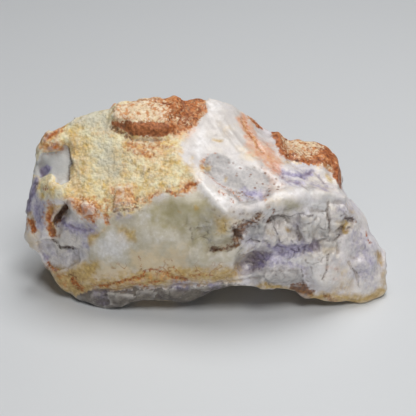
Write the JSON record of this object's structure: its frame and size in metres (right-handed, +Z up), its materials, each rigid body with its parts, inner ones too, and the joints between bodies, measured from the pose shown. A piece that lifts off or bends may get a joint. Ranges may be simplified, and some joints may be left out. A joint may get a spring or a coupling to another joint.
{
  "type": "rough opal",
  "caption": "Broken lump of milky common opal with a granular crust on its upper left, laid down on its flat underside.",
  "frame": {"origin": "on the table, under the middle of the stone's bounding box", "axes": "+X along the stone towards its thin end, +Y towards its back, +Z up from the table"},
  "size_m": [0.0924, 0.0508, 0.0479],
  "materials": {
    "opal": "waxy, glossy where it is broken and dull where it is crusted"
  },
  "bodies": {
    "root": {"rough_opal": "opal"}
  },
  "joints": []
}
